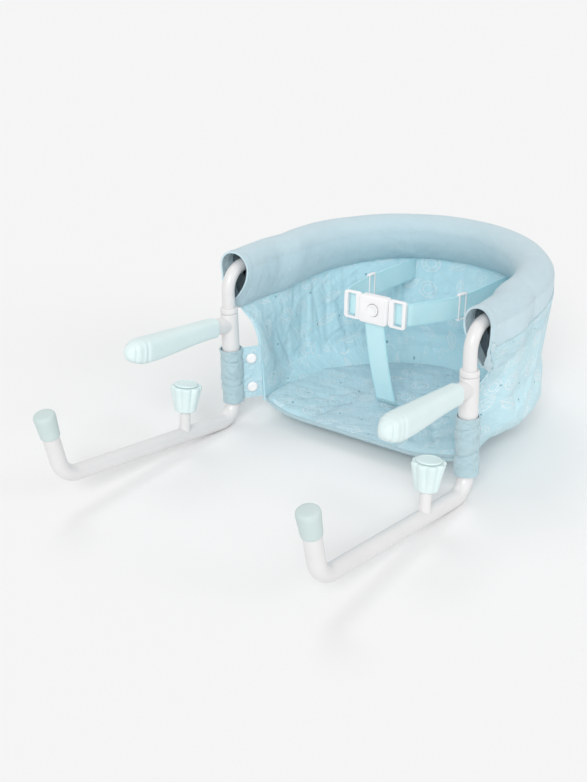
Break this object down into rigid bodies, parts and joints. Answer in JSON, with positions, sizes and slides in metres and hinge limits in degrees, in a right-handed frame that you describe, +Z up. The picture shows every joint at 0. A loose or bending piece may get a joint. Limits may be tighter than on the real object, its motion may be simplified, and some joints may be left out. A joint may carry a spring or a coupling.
{
  "type": "hook-on table chair",
  "caption": "Baby chair that clamps to a table: fabric bucket seat on a bent tube rim, swivelling arms with screw clamps and rubber hooks, padded roll and waist harness.",
  "frame": {"origin": "on the ground under the middle of the chair's box", "axes": "+X to the right seen from the table, +Y from the table to the seat's back, +Z up along the posts"},
  "size_m": [0.382, 0.6164, 0.2215],
  "materials": {
    "white_paint": "satin white powder coat",
    "white_plastic": "smooth white",
    "mint_plastic": "satin pale mint",
    "mint_rubber": "matt pale mint",
    "roll_fabric": "plain woven, light blue",
    "wall_fabric": "woven, light blue with a pale printed pattern",
    "webbing": "ribbed webbing, turquoise",
    "hardboard": "bare hardboard",
    "steel": "plain"
  },
  "bodies": {
    "seat_frame": {"rim_tube": "white_paint", "rim_cover": "roll_fabric", "seat_wall": "wall_fabric", "seat_underside": "wall_fabric", "floor_board": "hardboard", "seat_floor": "wall_fabric", "buckle_body": "white_plastic", "crotch_strap": "webbing", "left_leg_plug": "white_plastic", "left_post_sleeve": "wall_fabric", "left_upper_snap": "white_plastic", "left_lower_snap": "white_plastic", "left_waist_strap": "webbing", "left_strap_slider": "white_plastic", "left_buckle_tongue": "white_plastic", "right_leg_plug": "white_plastic", "right_post_sleeve": "wall_fabric", "right_upper_snap": "white_plastic", "right_lower_snap": "white_plastic", "right_waist_strap": "webbing", "right_strap_slider": "white_plastic", "right_buckle_tongue": "white_plastic"},
    "left_arm": {"left_lower_arm": "white_paint", "left_arm_tee": "white_plastic", "left_pivot_bush": "white_plastic", "left_swivel_rivet": "steel", "left_arm_grip": "mint_plastic", "left_hook_cap": "mint_rubber", "left_clamp_boss": "white_plastic"},
    "left_clamp_pad_body": {"left_clamp_pad": "mint_rubber"},
    "left_clamp_knob_body": {"left_clamp_knob": "mint_plastic", "left_clamp_screw": "steel"},
    "right_arm": {"right_lower_arm": "white_paint", "right_arm_tee": "white_plastic", "right_pivot_bush": "white_plastic", "right_swivel_rivet": "steel", "right_arm_grip": "mint_plastic", "right_hook_cap": "mint_rubber", "right_clamp_boss": "white_plastic"},
    "right_clamp_pad_body": {"right_clamp_pad": "mint_rubber"},
    "right_clamp_knob_body": {"right_clamp_knob": "mint_plastic", "right_clamp_screw": "steel"},
    "buckle_button_body": {"buckle_button": "white_plastic"}
  },
  "joints": [
    {"name": "left_arm_swivel", "type": "hinge", "parent": "seat_frame", "child": "left_arm", "pos_m": [-0.17, 0.00423, 0.118], "axis": [0, 0, 1], "range_deg": [0, 91.3]},
    {"name": "left_clamp_lift", "type": "slide", "parent": "left_arm", "child": "left_clamp_pad_body", "axis": [0.0032, 0.1391, 0.9903], "range_m": [0, 0.018]},
    {"name": "left_clamp_turn", "type": "hinge", "parent": "left_clamp_pad_body", "child": "left_clamp_knob_body", "pos_m": [-0.17188, -0.07857, 0.08428], "axis": [0.0032, 0.1391, 0.9903], "range_deg": [0, 1620]},
    {"name": "right_arm_swivel", "type": "hinge", "parent": "seat_frame", "child": "right_arm", "pos_m": [0.17, 0.00423, 0.118], "axis": [0, 0, 1], "range_deg": [-46.3, 0]},
    {"name": "right_clamp_lift", "type": "slide", "parent": "right_arm", "child": "right_clamp_pad_body", "axis": [-0.0032, 0.1391, 0.9903], "range_m": [0, 0.018]},
    {"name": "right_clamp_turn", "type": "hinge", "parent": "right_clamp_pad_body", "child": "right_clamp_knob_body", "pos_m": [0.17188, -0.07857, 0.08428], "axis": [-0.0032, 0.1391, 0.9903], "range_deg": [0, 1620]},
    {"name": "buckle_button_press", "type": "slide", "parent": "seat_frame", "child": "buckle_button_body", "axis": [0, 0.9976, -0.0698], "range_m": [0, 0.002], "stiffness_N_per_m": 500}
  ],
  "couplings": [
    {"joint": "left_clamp_lift", "follows": "left_clamp_turn", "m_per_rad": 0.00063661},
    {"joint": "right_clamp_lift", "follows": "right_clamp_turn", "m_per_rad": 0.00063661}
  ]
}
